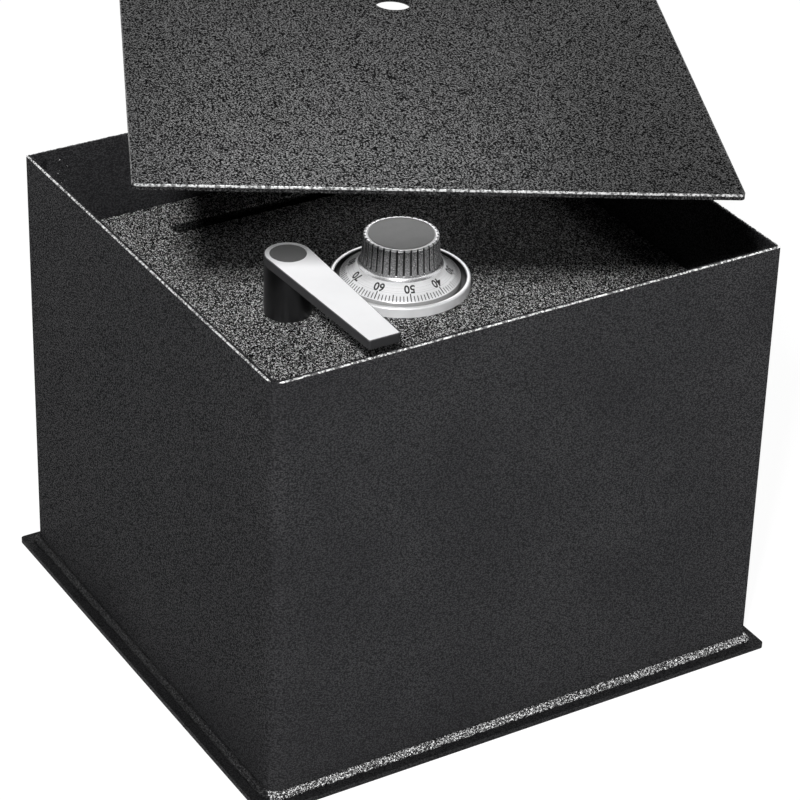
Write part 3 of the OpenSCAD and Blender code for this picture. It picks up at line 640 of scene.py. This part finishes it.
def bead_rings(path, frame_of, leg, passes, steps, seed):
    """Rings of a bead laid in one or two passes.

    frame_of(point, out) gives the corner that the bead fills and the two directions away from it.
    """
    rings = []
    run = 0.0
    last = None
    for point, out in path:
        corner, side, up = frame_of(point, out)
        if last is not None:
            gap = (corner - last).length
            run += gap + (TURN_RUN if gap < TOUCHING else 0.0)
        last = corner
        ring = []
        for i in range(steps + 1):
            turn = i / steps
            angle = turn * math.pi / 2
            r = bead_radius(leg, passes, run, turn, seed)
            ring.append(corner + side * (r * math.cos(angle)) + up * (r * math.sin(angle)))
        rings.append(ring)
    return rings


def build_foot_weld():
    """The bead round the joint of the walls and the base. On the left and at the back it has almost none of
    the painted glints, as painted shade.
    """

    def frame_of(point, out):
        return Vector((point.x, point.y, plate_top)), Vector((out.x, out.y, 0)), Vector(UP)

    rings = bead_rings(foot_path(FOOT_STEP), frame_of, FOOT_BEAD, 2, FOOT_BEAD_POINTS, SEED)
    mesh = grid_mesh("foot_weld_bead", rings, False, True)
    for face in mesh.polygons:
        # The left and back of the bead get painted shade
        in_painted_shade = face.center.x < shell_low.x or face.center.y > shell_high.y
        face.material_index = 1 if in_painted_shade else 0
    materials = [weld_paint, weld_paint_painted_shade]
    piece("foot_weld_bead", mesh, materials, "safe_body", ["foot_weld"], sharp=BEAD_SHARP)


def build_seam_weld(side):
    """Bead inside the upright corner at the right front (side 1) or the left back (side -1)."""
    low, high = plate_top, shell_high.z - SEAM_END
    count = int((high - low) / SEAM_STEP)
    path = [((low + (high - low) * i / count), None) for i in range(count + 1)]
    corner_x = side * (shell_high.x - WALL)
    corner_y = -side * (shell_high.y - WALL)

    def frame_of(z, _):
        return Vector((corner_x, corner_y, z)), Vector((-side, 0, 0)), Vector((0, side, 0))

    rings = bead_rings(path, frame_of, SEAM_BEAD, 1, SEAM_BEAD_POINTS, SEED + side)
    name = "seam_bead_right" if side > 0 else "seam_bead_left"
    mesh = grid_mesh(name, rings, False)
    stands_for = ["seam_welds"] if side > 0 else []
    piece(name, mesh, [weld_paint], "safe_body", stands_for, sharp=BEAD_SHARP)


SPATTER_COUNT = 26
# Ranges of a drop's distance from the corner, its depth under the rim and its radius, in millimetres
SPATTER_REACH = (4, 24)
SPATTER_DROP = (5, 26)
SPATTER_R = (0.25, 0.7)
SPATTER_FLAT = 0.55


def build_spatter():
    """Weld spatter near the tack in the left back corner, two drops in three on the back wall."""
    rng = random.Random(SEED)
    bm = bmesh.new()
    x0, y0 = -(shell_high.x - WALL), shell_high.y - WALL
    for i in range(SPATTER_COUNT):
        reach = rng.uniform(*SPATTER_REACH) * MM
        z = shell_high.z - rng.uniform(*SPATTER_DROP) * MM
        r = rng.uniform(*SPATTER_R) * MM
        on_back = i % 3 != 0
        spot = Vector((x0 + reach, y0, z)) if on_back else Vector((x0, y0 - reach, z))
        made = bmesh.ops.create_icosphere(bm, subdivisions=2, radius=r)
        flat = Vector((1, SPATTER_FLAT, 1)) if on_back else Vector((SPATTER_FLAT, 1, 1))
        for vert in made["verts"]:
            vert.co = Vector((vert.co.x * flat.x, vert.co.y * flat.y, vert.co.z * flat.z)) + spot
    piece("weld_spatter", finished_mesh(bm, "weld_spatter"), [weld_paint], "safe_body")


# Dial

DIAL_COUNT = 100
DIAL_ZERO = 20.0
TURNED_STEPS = 192
BORE_R = 4 * MM


def dial_direction(number):
    """Unit vector from the dial's axis towards a number, which grow clockwise seen from above."""
    bearing = math.radians(DIAL_ZERO + 360.0 * number / DIAL_COUNT)
    return Vector((math.sin(bearing), math.cos(bearing), 0.0))


RING_R = (ring_high.x - ring_low.x) / 2
RING_HOLE_R = 8 * MM
RING_FOOT_EDGE = 0.2 * MM
RING_SIDE_END = 1.5 * MM
RING_ROUND = 1.1 * MM
RING_ROUND_FROM = 12
RING_ROUND_TO = 84
RING_ROUND_PARTS = 6
RING_NEAR = 0.1 * MM
RECESS_NEAR = 0.05 * MM
RECESS_SHADE = 0.6 * MM
# Steps out from the recess and down from the top along the ring's inner edge, in millimetres
RING_INNER_EDGE = [(0.9, 0.0), (0.35, 0.12), (0.0, 0.5)]


def build_dial_ring():
    """The ring round the dial, with a recess for the disc."""
    inner = RING_R - RING_LIP
    floor = ring_low.z + RING_FLOOR
    profile = [(RING_HOLE_R, ring_low.z), (RING_R - RING_FOOT_EDGE, ring_low.z)]
    profile += [(RING_R, ring_low.z + RING_FOOT_EDGE), (RING_R, ring_high.z - RING_SIDE_END)]
    middle = (RING_R - RING_ROUND, ring_high.z - RING_ROUND)
    profile += arc(middle, RING_ROUND, RING_ROUND_FROM, RING_ROUND_TO, RING_ROUND_PARTS)
    profile += [(inner + out * MM, ring_high.z - down * MM) for out, down in RING_INNER_EDGE]
    profile += [(inner, floor), (RING_HOLE_R, floor)]
    mesh = lathe("dial_ring_turned", profile, TURNED_STEPS)
    for face in mesh.polygons:
        reach = off_axis(face.center)
        if reach < inner + RECESS_NEAR and face.center.z < ring_high.z - RECESS_SHADE:
            face.material_index = 1
        elif reach > RING_R - RING_NEAR:
            face.material_index = 2
    materials = [turned_satin, shadow_grey, ring_side]
    piece("dial_ring_turned", mesh, materials, "door", ["dial_ring"])


DISC_R = (disc_high.x - disc_low.x) / 2
DISC_TOP = disc_high.z
DISC_EDGE_TOP = disc_low.z + DISC_EDGE_H
DISC_FOOT_EDGE = 0.3 * MM
DISC_UNDER_KNOB = 1 * MM
# Steps in from the side and down from its top along the disc's edge, in millimetres
DISC_SOFT_EDGE = [(0.0, 0.35), (0.12, 0.08)]
DISC_FACE_START = 0.45 * MM
# Radii of the points down the disc's face, in millimetres
DISC_FACE_RADII = (32, 30, 28, 26, 24.5)


def disc_height(radius):
    """Height of the disc's sloping face at a radius."""
    share = (DISC_R - radius) / (DISC_R - KNOB_FOOT_R)
    return DISC_EDGE_TOP + (DISC_TOP - DISC_EDGE_TOP) * share


def build_dial_disc():
    """The graduated disc, a low cone with a grey edge."""
    face_start = DISC_R - DISC_FACE_START
    profile = [(BORE_R, disc_low.z), (DISC_R - DISC_FOOT_EDGE, disc_low.z)]
    profile += [(DISC_R, disc_low.z + DISC_FOOT_EDGE)]
    profile += [(DISC_R - side * MM, DISC_EDGE_TOP - down * MM) for side, down in DISC_SOFT_EDGE]
    profile += [(face_start, disc_height(face_start))]
    profile += [(r * MM, disc_height(r * MM)) for r in DISC_FACE_RADII]
    profile += [(KNOB_FOOT_R - DISC_UNDER_KNOB, DISC_TOP), (BORE_R, DISC_TOP)]
    mesh = lathe("dial_disc_turned", profile, TURNED_STEPS)
    for face in mesh.polygons:
        face.material_index = 1 if face.center.z < DISC_EDGE_TOP else 0
    piece("dial_disc_turned", mesh, [turned_satin, inlay], "dial", ["dial_disc"])


INLAY_R = (inlay_high.x - inlay_low.x) / 2
FLUTE_SHARE = 0.36
FLUTE_DEPTH = 0.8 * MM
FLUTE_RUN_OUT = 1.2 * MM
FLUTE_STEPS = 16
FLUTE_START = DISC_TOP + KNOB_FOOT_H
FLUTE_CLEAR = 1.2 * MM
GROOVE_SHADE_FROM = 0.3
KNOB_FOOT_EDGE = 0.35 * MM
KNOB_TOP_EDGE = 0.8 * MM
BARREL_NEAR = 1.0 * MM
KNOB_HIGHLIGHT_DROP = 0.6 * MM
INLAY_GAP = 0.02 * MM
INLAY_SEAT_EDGE = 0.2 * MM
INLAY_RIM = 0.25 * MM
# How far the flare stands out from the barrel, at heights over the disc, in millimetres
KNOB_FLARE = [(0.55, 1.1), (0.12, 2.1)]
# Shares of the barrel's height with a ring of points, closest where the flutes run out
BARREL_SHARES = (0.03, 0.06, 0.1, 0.25, 0.5, 0.75, 1.0)
# Steps in from the side and down from the top along the knob's upper edge, in millimetres
KNOB_SOFT_EDGE = [(0.12, 0.4), (0.4, 0.12), (0.8, 0.0)]


def groove_share(angle):
    """Depth of the flutes at an angle round the knob, from 0 on a ridge to 1 at the bottom of a groove."""
    phase = (angle * FLUTES / (2 * math.pi)) % 1.0
    near = max(0.0, 1 - min(phase, 1 - phase) / (FLUTE_SHARE / 2))
    return 1 - (1 - near) ** 2


def flute_shape(radius, z, angle):
    """Grooves down the knob's barrel, which run out above its foot."""
    if z < FLUTE_START or radius < INLAY_R + FLUTE_CLEAR:
        return radius
    depth = FLUTE_DEPTH * min(1.0, (z - FLUTE_START) / FLUTE_RUN_OUT) ** 0.5
    return radius - depth * groove_share(angle)


def knob_profile():
    """The knob's flared foot, its leaning barrel, its rounded top edge and the seat of its inlay."""
    lean = KNOB_HIGH_R - KNOB_LOW_R
    rise = knob_top - KNOB_TOP_EDGE - FLUTE_START
    seat_r = INLAY_R + INLAY_GAP
    profile = [(BORE_R, DISC_TOP), (KNOB_FOOT_R, DISC_TOP)]
    profile += [(KNOB_FOOT_R - KNOB_FOOT_EDGE, DISC_TOP + KNOB_FOOT_EDGE)]
    profile += [(KNOB_LOW_R + out * MM, DISC_TOP + up * MM) for out, up in KNOB_FLARE]
    profile += [(KNOB_LOW_R, FLUTE_START)]
    profile += [(KNOB_LOW_R + lean * share, FLUTE_START + rise * share) for share in BARREL_SHARES]
    profile += [(KNOB_HIGH_R - side * MM, knob_top - down * MM) for side, down in KNOB_SOFT_EDGE]
    profile += [(INLAY_R + INLAY_RIM, knob_top), (seat_r, knob_top - INLAY_SEAT_EDGE)]
    profile += [(seat_r, inlay_low.z), (BORE_R, inlay_low.z)]
    return profile


def build_knob():
    """The fluted knob, with painted shade in its grooves and a painted highlight on its upper edge."""
    mesh = lathe("dial_knob_fluted", knob_profile(), FLUTES * FLUTE_STEPS, flute_shape)
    for face in mesh.polygons:
        spot = face.center
        angle = math.atan2(spot.y - DIAL_AXIS[1], spot.x - DIAL_AXIS[0]) % (2 * math.pi)
        on_barrel = spot.z > FLUTE_START and off_axis(spot) > KNOB_HIGH_R - BARREL_NEAR
        # The bottoms of the grooves get painted shade
        if on_barrel and groove_share(angle) > GROOVE_SHADE_FROM:
            face.material_index = 2
        # The upper edge gets a painted highlight
        elif spot.z > knob_top - KNOB_HIGHLIGHT_DROP:
            face.material_index = 1
    materials = [knob_metal, knob_edge_painted_highlight, groove_painted_shade]
    piece("dial_knob_fluted", mesh, materials, "dial", ["dial_knob"], sharp=ROUNDED_SHARP)


MARK_LIFT = 0.02 * MM
MARK_THICK = 0.05 * MM
MARK_EDGE = 0.5 * MM
MARK_PARTS = 3
TENTH_LENGTH = 3.9 * MM
FIFTH_LENGTH = 3.3 * MM
UNIT_LENGTH = 2.7 * MM
WIDE_HALF_W = 0.30 * MM
NARROW_HALF_W = 0.25 * MM


def on_cone(radius, direction, across, offset):
    """A point just above the disc's face, at a radius and offset sideways."""
    p = direction * radius + across * offset
    return Vector((DIAL_AXIS[0] + p.x, DIAL_AXIS[1] + p.y, disc_height(radius) + MARK_LIFT))


def mark_size(number):
    """Length and half width of a number's mark. Tens are longest and fives next, and both are wider."""
    if number % 10 == 0:
        return TENTH_LENGTH, WIDE_HALF_W
    if number % 5 == 0:
        return FIFTH_LENGTH, WIDE_HALF_W
    return UNIT_LENGTH, NARROW_HALF_W


def mark_row(bm, number, offset, lift):
    """Corners along one long edge of a mark, from its outer end inwards."""
    out = dial_direction(number)
    across = Vector((-out.y, out.x, 0))
    length, _ = mark_size(number)
    outer = DISC_R - MARK_EDGE
    radii = [outer - length * i / MARK_PARTS for i in range(MARK_PARTS + 1)]
    return [bm.verts.new(on_cone(r, out, across, offset) + Vector((0, 0, lift))) for r in radii]


def build_marks():
    """The graduations, one thin inked strip each."""
    bm = bmesh.new()
    for number in range(DIAL_COUNT):
        _, half = mark_size(number)
        low_a, low_b = [mark_row(bm, number, side * half, 0) for side in (-1, 1)]
        top_a, top_b = [mark_row(bm, number, side * half, MARK_THICK) for side in (-1, 1)]
        for i in range(MARK_PARTS):
            bm.faces.new((top_a[i], top_b[i], top_b[i + 1], top_a[i + 1]))
            bm.faces.new((low_a[i], top_a[i], top_a[i + 1], low_a[i + 1]))
            bm.faces.new((low_b[i], low_b[i + 1], top_b[i + 1], top_b[i]))
        bm.faces.new((low_a[0], low_b[0], top_b[0], top_a[0]))
        bm.faces.new((low_a[-1], top_a[-1], top_b[-1], low_b[-1]))
    bmesh.ops.recalc_face_normals(bm, faces=bm.faces)
    piece("dial_marks", finished_mesh(bm, "dial_marks"), [dial_ink], "dial")


NUMERAL_H = 3.8 * MM
NUMERAL_R = 25.4 * MM
NUMERAL_STRETCH = 1.15
CAPITAL_SHARE = 0.7
STROKE_SHARE = 0.035


def numeral_mesh(text):
    """A flat mesh of a number, centred, upright along Y."""
    curve = bpy.data.curves.new("numeral", "FONT")
    curve.body = text
    curve.size = NUMERAL_H / CAPITAL_SHARE
    curve.align_x = "CENTER"
    curve.align_y = "BOTTOM_BASELINE"
    curve.resolution_u = 4
    curve.offset = STROKE_SHARE * NUMERAL_H
    obj = bpy.data.objects.new("numeral", curve)
    mesh = bpy.data.meshes.new_from_object(obj)
    bpy.data.objects.remove(obj)
    bpy.data.curves.remove(curve)
    return mesh


def build_numerals():
    """The numbers at every tenth mark, with their tops outwards, laid on the disc's slope."""
    bm = bmesh.new()
    for number in range(0, DIAL_COUNT, 10):
        mesh = numeral_mesh(str(number))
        out = dial_direction(number)
        across = Vector((out.y, -out.x, 0))
        start = len(bm.verts)
        bm.from_mesh(mesh)
        bpy.data.meshes.remove(mesh)
        bm.verts.ensure_lookup_table()
        for vert in bm.verts[start:]:
            vert.co = on_cone(NUMERAL_R + vert.co.y, out, across, vert.co.x * NUMERAL_STRETCH)
    bmesh.ops.recalc_face_normals(bm, faces=list(bm.faces))
    upside_down = [face for face in bm.faces if face.normal.z < 0]
    bmesh.ops.reverse_faces(bm, faces=upside_down)
    made = bmesh.ops.extrude_face_region(bm, geom=list(bm.faces))
    lifted = [part for part in made["geom"] if isinstance(part, bmesh.types.BMVert)]
    bmesh.ops.translate(bm, verts=lifted, vec=(0, 0, MARK_THICK))
    piece("dial_numerals", ordered_mesh(bm, "dial_numerals"), [dial_ink], "dial")


# Lever

LEVER_HUB = Vector(((cap_low.x + cap_high.x) / 2, (cap_low.y + cap_high.y) / 2))
LEVER_HEAD_R = (lever_high.x - lever_low.x) / 2
LEVER_CAP_R = (cap_high.x - cap_low.x) / 2
LEVER_REACH = LEVER_HUB.y - lever_low.y
LEVER_TIP_W = 19.2 * MM
LEVER_TIP_R = 1.6 * MM
LEVER_EDGE = 0.55 * MM
LEVER_SIDE_PARTS = 16
LEVER_TIP_PARTS = 6
LEVER_HEAD_PARTS = 60
LEVEL_FACE = 0.98
TOP_NEAR = 0.01 * MM


def lever_side(side):
    """Outline points of one long side and its tip corner, from the round end on, each with its way out.

    side is 1 for right and -1 for left. The first value is the angle at which the side leaves the round end.
    """
    half, reach, r = LEVER_TIP_W / 2, LEVER_REACH, LEVER_TIP_R
    corner = Vector((half - r, -(reach - r)))
    side_end = Vector((half, -(reach - r)))
    touch = math.atan2(side_end.y, side_end.x) + math.acos(LEVER_HEAD_R / side_end.length)
    start = Vector((math.cos(touch), math.sin(touch))) * LEVER_HEAD_R
    normal = start.normalized()
    count = LEVER_SIDE_PARTS
    points = [(start.lerp(side_end, i / count), normal) for i in range(count + 1)]
    for i in range(1, LEVER_TIP_PARTS + 1):
        angle = math.radians(90 / LEVER_TIP_PARTS * i)
        out = Vector((math.cos(angle), -math.sin(angle)))
        points.append((corner + out * r, out))
    return touch, [(Vector((p.x * side, p.y)), Vector((n.x * side, n.y))) for p, n in points]


def lever_head(touch):
    """Outline points round the lever's round end, from its right side to its left."""
    points = []
    for i in range(1, LEVER_HEAD_PARTS):
        angle = touch + (math.pi - 2 * touch) * i / LEVER_HEAD_PARTS
        out = Vector((math.cos(angle), math.sin(angle)))
        points.append((out * LEVER_HEAD_R, out))
    return points


def build_lever():
    """The tapered lever, pale on top and dark at its sides, with a round seat for its inlay."""
    touch, right = lever_side(1)
    _, left = lever_side(-1)
    outline = right[::-1] + lever_head(touch) + left
    low, high = lever_low.z, lever_high.z
    edge, half, little = LEVER_EDGE, LEVER_EDGE * 0.5, LEVER_EDGE * 0.13
    layers = [(half, low), (0.0, low + half), (0.0, high - edge)]
    layers += [(little, high - half), (half, high - little), (edge, high)]
    rings = [[tuple(LEVER_HUB + p - n * inset) + (z,) for p, n in outline] for inset, z in layers]
    around = [(LEVER_HUB + p.normalized() * LEVER_CAP_R) for p, _ in outline]
    rings.append([tuple(p) + (high,) for p in around])
    rings.append([tuple(p) + (cap_low.z,) for p in around])
    mesh = grid_mesh("lever_dressed", rings, True, True)
    for face in mesh.polygons:
        on_top = face.normal.z > LEVEL_FACE and face.center.z > high - TOP_NEAR
        face.material_index = 0 if on_top else 1
    # The top keeps its pale satin, and the sides get a painted dark reflection
    materials = [satin_metal, lever_side_painted_dark_metal]
    stands_for = ["handle_lever"]
    obj = piece("lever_dressed", mesh, materials, "handle", stands_for, ROUNDED_SHARP)
    smooth = obj.modifiers.new("smooth", "WEIGHTED_NORMAL")
    smooth.keep_sharp = True


# Finish on the frame's own nodes

# Widths of the rounded edges, in millimetres
EDGE_ROUND = {
    "shell_front_left": 0.45,
    "shell_back_right": 0.45,
    "base_plate": 0.5,
    "cover_plate": 0.5,
    "door_plate": 0.6,
    "handle_hub": 0.4,
    "handle_inlay": 0.12,
    "knob_inlay": 0.15,
}
EDGE_ROUND_REST = 0.25
EDGE_ANGLE = 40
WELD_REACH = 1e-6
SMOOTH_WEIGHT = 80


def round_edges(obj, width):
    """Merges the split corners, rounds the sharp edges and smooths the shading."""
    weld = obj.modifiers.new("weld", "WELD")
    weld.merge_threshold = WELD_REACH
    bevel = obj.modifiers.new("bevel", "BEVEL")
    bevel.width = width * MM
    bevel.segments = 2
    bevel.limit_method = "ANGLE"
    bevel.angle_limit = math.radians(EDGE_ANGLE)
    bevel.use_clamp_overlap = True
    smooth = obj.modifiers.new("smooth", "WEIGHTED_NORMAL")
    smooth.keep_sharp = False
    smooth.weight = SMOOTH_WEIGHT


def finish_nodes():
    """Gives each node that shows its material and its rounded edges."""
    for part in frame["record"]["subparts"]:
        name, slot = part["node"], part["material_slot"]
        obj = nodes[name]
        if obj.hide_render:
            continue
        obj.data.materials.clear()
        obj.data.materials.append(NODE_FINISH.get(name, SLOT_FINISH[slot]))
        round_edges(obj, EDGE_ROUND.get(name, EDGE_ROUND_REST))


# Room, light and camera

FLOOR_SIZE = 24
FLOOR_DROP = 0.0003
FLOOR_TONES = (0.90, 0.94)
FLOOR_ROUGHNESS = 0.9
FLOOR_GLOW = 1.06
FLOOR_GLOW_SHARE = 0.9
DUST_SIZE = 0.3


def build_floor():
    """A pale floor that keeps the object's shadow and otherwise looks white."""
    bpy.ops.mesh.primitive_plane_add(size=FLOOR_SIZE, location=(0, 0, -FLOOR_DROP))
    floor = bpy.context.object
    floor.name = "floor"
    graph = Graph("floor")
    dust = graph.noise(graph.place(), DUST_SIZE, detail=3.0)
    dark, pale = (grey(tone) for tone in FLOOR_TONES)
    graph.set(Base_Color=graph.blend(dust, dark, pale), Roughness=FLOOR_ROUGHNESS)
    rays = graph.add("ShaderNodeLightPath").outputs
    mirrored = graph.math("MAXIMUM", rays["Is Glossy Ray"], rays["Is Transmission Ray"])
    seen = graph.math("MAXIMUM", rays["Is Camera Ray"], mirrored)
    glow = graph.add("ShaderNodeEmission", {"Color": grey(1.0), "Strength": FLOOR_GLOW})
    inputs = {
        0: graph.math("MULTIPLY", seen, FLOOR_GLOW_SHARE),
        1: graph.shader.outputs["BSDF"],
        2: glow.outputs["Emission"],
    }
    mixed = graph.add("ShaderNodeMixShader", inputs)
    out = graph.tree.nodes["Material Output"]
    graph.tree.links.new(mixed.outputs["Shader"], out.inputs["Surface"])
    floor.data.materials.append(graph.material)


WORLD_LEVEL = 0.035


def larger_of(tree, a, b):
    """A node's output that is the larger of two others."""
    node = tree.nodes.new("ShaderNodeMath")
    node.operation = "MAXIMUM"
    tree.links.new(a, node.inputs[0])
    tree.links.new(b, node.inputs[1])
    return node.outputs["Value"]


def build_world():
    """A world that looks white to the camera and in reflections and lights the object only a little."""
    world = bpy.data.worlds.new("studio")
    bpy.context.scene.world = world
    world.use_nodes = True
    tree = world.node_tree
    back = tree.nodes["Background"]
    rays = tree.nodes.new("ShaderNodeLightPath").outputs
    mirrored = larger_of(tree, rays["Is Glossy Ray"], rays["Is Transmission Ray"])
    seen = larger_of(tree, rays["Is Camera Ray"], mirrored)
    level = tree.nodes.new("ShaderNodeMapRange")
    level.inputs["To Min"].default_value = WORLD_LEVEL
    level.inputs["To Max"].default_value = 1.0
    tree.links.new(seen, level.inputs["Value"])
    tree.links.new(level.outputs["Result"], back.inputs["Strength"])
    back.inputs["Color"].default_value = grey(1.0)


# Each lamp's name, place, target, width and height in metres, and power in watts
LAMPS = [
    ("key_front", (-1.24, -1.52, 1.78), (0.0, 0.0, 0.25), 0.2, 0.2, 94.0),
    ("sheen_behind", (0.58, 0.98, 1.03), (0.0, 0.0, 0.30), 0.36, 0.26, 2.0),
    ("fill_front", (1.10, -2.40, 0.55), (0.0, 0.0, 0.12), 1.2, 0.8, 34.0),
]


def build_lamps():
    for name, place, target, width, height, power in LAMPS:
        data = bpy.data.lights.new(name, "AREA")
        data.shape = "RECTANGLE"
        data.size, data.size_y = width, height
        data.energy = power
        lamp = bpy.data.objects.new(name, data)
        bpy.context.scene.collection.objects.link(lamp)
        lamp.location = place
        lamp.rotation_euler = (Vector(target) - Vector(place)).to_track_quat("-Z", "Y").to_euler()
        lamp.visible_camera = False


# The camera's place in metres and its turn in degrees, both fitted to the photo
CAMERA_PLACE = (-0.81764, -1.34200, 1.06806)
CAMERA_TURN = (59.238, -1.491, -30.671)
SENSOR_WIDTH = 36.0
LENS = 144.306


def build_camera():
    data = bpy.data.cameras.new("camera")
    data.sensor_width = SENSOR_WIDTH
    data.lens = LENS
    camera = bpy.data.objects.new("camera", data)
    bpy.context.scene.collection.objects.link(camera)
    camera.location = CAMERA_PLACE
    camera.rotation_euler = [math.radians(angle) for angle in CAMERA_TURN]
    bpy.context.scene.camera = camera


build_camera()
build_world()
build_lamps()
build_floor()
build_foot_weld()
build_seam_weld(1)
build_seam_weld(-1)
build_spatter()
build_dial_ring()
build_dial_disc()
build_knob()
build_marks()
build_numerals()
build_lever()
finish_nodes()

bpy.context.scene.view_settings.view_transform = "Standard"
